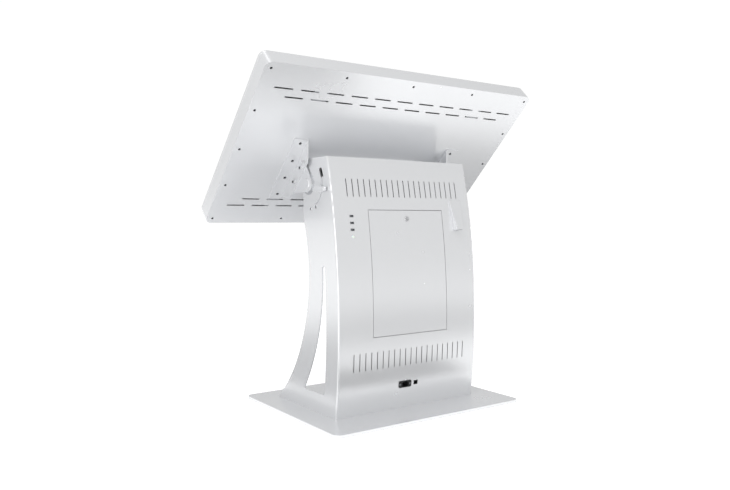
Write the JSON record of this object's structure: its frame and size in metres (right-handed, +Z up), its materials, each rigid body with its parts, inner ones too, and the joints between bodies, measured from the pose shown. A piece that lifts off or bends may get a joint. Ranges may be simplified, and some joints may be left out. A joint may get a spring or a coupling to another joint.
{
  "type": "ticket kiosk",
  "caption": "Large touch screen that tilts on a curved steel pedestal with a flat base, with rear vents, a service door and a ticket printer.",
  "frame": {"origin": "centre of the base plate's underside, on the floor", "axes": "+Z up; -Y the way the screen faces; +X to the right of someone facing the screen"},
  "size_m": [1.055, 0.5896, 1.0927],
  "materials": {
    "white_steel": "satin",
    "grey_steel": "satin",
    "zinc": "satin",
    "bright_steel": "polished",
    "bronze": "satin",
    "display_grey": "satin",
    "black_plastic": "matte",
    "dark_case": "satin",
    "lamp_white": "gloss",
    "paper": "matte",
    "rubber_black": "matte",
    "screen_glass": "gloss",
    "circuit_green": "satin"
  },
  "bodies": {
    "pedestal": {"base_plate": "white_steel", "base_bolts": "zinc", "foot_angles": "grey_steel", "side_plate_left": "white_steel", "side_plate_right": "white_steel", "rear_cover": "white_steel", "column_front_panel": "white_steel", "upper_front_panel": "white_steel", "housing_floor": "white_steel", "top_cover": "white_steel", "stay_bar": "grey_steel", "pivot_bushes": "bronze", "friction_washers": "bright_steel", "side_screws": "bright_steel", "mains_inlet": "black_plastic", "inlet_screws": "zinc", "network_socket": "black_plastic", "usb_sockets": "black_plastic", "status_lamp": "lamp_white", "mini_pc": "dark_case", "power_supply": "display_grey", "ticket_printer": "dark_case", "roll_cradle": "grey_steel", "ticket_exit_bezel": "black_plastic", "exhaust_fan_frame": "black_plastic", "cable_hood": "white_steel", "hinge_brackets": "zinc"},
    "head": {"head_rear_panel": "white_steel", "head_shell": "white_steel", "rear_panel_screws": "zinc", "front_bezel": "white_steel", "touch_glass": "screen_glass", "lcd_module": "display_grey", "display_board": "circuit_green", "display_power_board": "circuit_green", "speakers": "black_plastic", "stiffener_channels": "grey_steel", "mount_angle_left": "white_steel", "mount_angle_right": "white_steel", "angle_screws": "zinc", "tilt_arm_left": "white_steel", "tilt_arm_right": "white_steel", "arm_bolts": "bright_steel", "pivot_shaft": "bright_steel", "pivot_end_caps": "white_steel", "index_arms": "white_steel", "clamp_bolts": "zinc"},
    "clamp_lever_left": {"clamp_lever_left": "bright_steel"},
    "clamp_lever_right": {"clamp_lever_right": "bright_steel"},
    "service_door": {"service_door": "white_steel", "door_hinge_arms": "zinc", "lock_case": "bright_steel"},
    "door_lock": {"lock_barrel": "bright_steel", "lock_cam": "zinc"},
    "fan_rotor": {"fan_rotor": "black_plastic"},
    "paper_roll": {"paper_roll": "paper"},
    "printer_platen": {"printer_platen": "rubber_black"}
  },
  "joints": [
    {"name": "head_tilt", "type": "hinge", "parent": "pedestal", "child": "head", "pos_m": [0, -0.008, 0.73], "axis": [1, 0, 0], "range_deg": [-45, 43]},
    {"name": "clamp_lever_right_turn", "type": "hinge", "parent": "head", "child": "clamp_lever_right", "pos_m": [0, 0.07177, 0.711], "axis": [1, 0, 0], "continuous": true},
    {"name": "clamp_lever_left_turn", "type": "hinge", "parent": "head", "child": "clamp_lever_left", "pos_m": [0, 0.07177, 0.711], "axis": [1, 0, 0], "continuous": true},
    {"name": "service_door_hinge", "type": "hinge", "parent": "pedestal", "child": "service_door", "pos_m": [0, 0.15326, 0.229], "axis": [-1, 0, 0], "range_deg": [0, 90]},
    {"name": "door_lock_turn", "type": "hinge", "parent": "service_door", "child": "door_lock", "pos_m": [0, 0.13989, 0.619], "axis": [0, 0.9885, 0.1511], "range_deg": [0, 90]},
    {"name": "fan_spin", "type": "hinge", "parent": "pedestal", "child": "fan_rotor", "pos_m": [0, 0.12286, 0.716], "axis": [0, 0.9809, 0.1946], "continuous": true},
    {"name": "ticket_roll_spin", "type": "hinge", "parent": "pedestal", "child": "paper_roll", "pos_m": [0, 0.09616, 0.56], "axis": [1, 0, 0], "continuous": true},
    {"name": "platen_spin", "type": "hinge", "parent": "pedestal", "child": "printer_platen", "pos_m": [0, 0.00616, 0.553], "axis": [1, 0, 0], "continuous": true}
  ]
}
